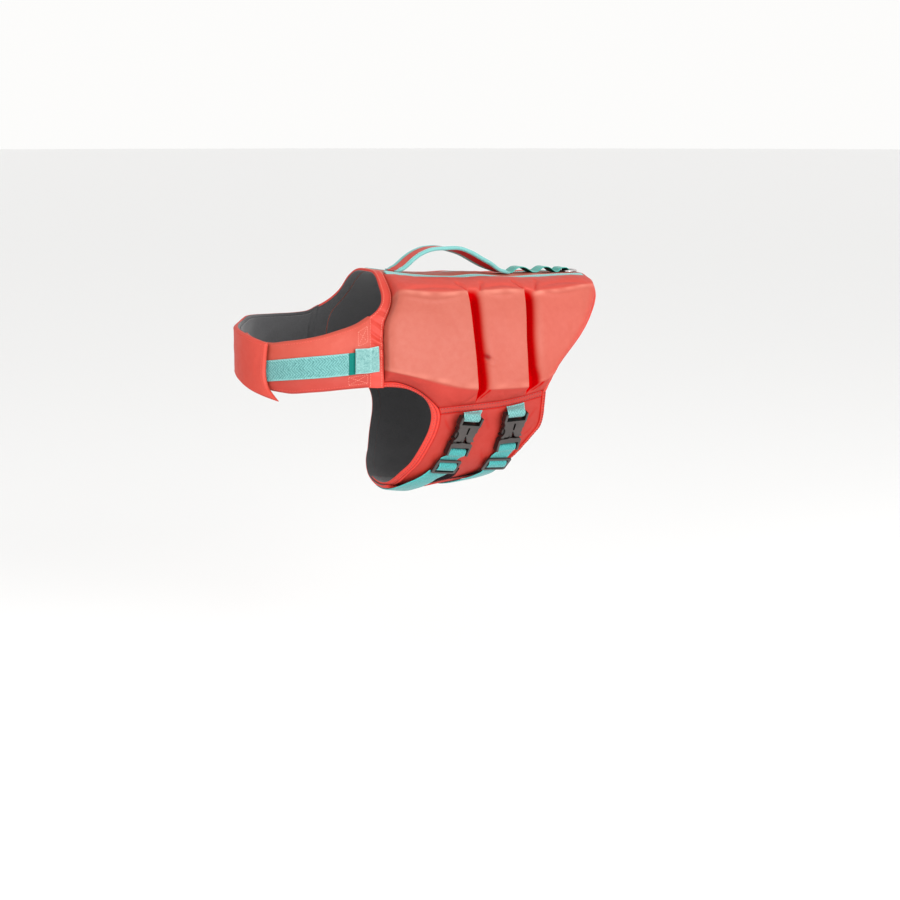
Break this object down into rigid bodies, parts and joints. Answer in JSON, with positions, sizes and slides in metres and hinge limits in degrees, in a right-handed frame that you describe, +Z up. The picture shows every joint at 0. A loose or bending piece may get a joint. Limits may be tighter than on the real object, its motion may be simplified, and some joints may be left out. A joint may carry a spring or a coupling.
{
  "type": "dog life jacket",
  "caption": "Foam-padded life jacket for a dog in its worn form: grab handle, lash webbing with a ring, chest collar, open belly flaps closed by webbing and side-release buckles.",
  "frame": {"origin": "middle of the back on the inner face, where the jacket lies on the wearer's back", "axes": "+X towards the tail, -X towards the chest, +Z up, -Y the wearer's side that carries the buckles"},
  "size_m": [0.4607, 0.2106, 0.2995],
  "materials": {
    "coral_cloth": "satin",
    "band_cloth": "satin",
    "aqua_webbing": "woven",
    "pale_webbing": "woven",
    "dark_teal_fold": "woven",
    "dark_lining": "matt",
    "dark_loop_patch": "matt",
    "grey_plastic": "matt",
    "ring_metal": "satin"
  },
  "bodies": {
    "jacket": {"arm_band_left": "band_cloth", "arm_band_right": "band_cloth", "belly_flap_left": "coral_cloth", "belly_flap_right": "coral_cloth", "belly_strap_1": "aqua_webbing", "belly_strap_2": "aqua_webbing", "buckle_1_prongs": "grey_plastic", "buckle_1_socket": "grey_plastic", "buckle_2_prongs": "grey_plastic", "buckle_2_socket": "grey_plastic", "buckle_tab_1": "aqua_webbing", "buckle_tab_2": "aqua_webbing", "collar_end_tab": "pale_webbing", "collar_fold": "dark_teal_fold", "collar_left": "coral_cloth", "collar_lining": "dark_lining", "collar_right": "coral_cloth", "collar_webbing": "aqua_webbing", "handle": "coral_cloth", "handle_tape_left": "aqua_webbing", "handle_tape_right": "aqua_webbing", "hem_band_left": "band_cloth", "hem_band_right": "band_cloth", "lash_webbing": "aqua_webbing", "loop_patch": "dark_loop_patch", "neck_band": "band_cloth", "rear_binding": "band_cloth", "side_panel_left": "coral_cloth", "side_panel_right": "coral_cloth", "slider_1": "grey_plastic", "slider_2": "grey_plastic", "spine_panel": "coral_cloth", "spine_tape_left": "aqua_webbing", "spine_tape_right": "aqua_webbing"},
    "d_ring": {"d_ring": "ring_metal"}
  },
  "joints": [
    {"name": "ring_hinge", "type": "hinge", "parent": "jacket", "child": "d_ring", "pos_m": [0.11623, 0, 0.00091], "axis": [0, -1, 0], "range_deg": [0, 150]}
  ]
}
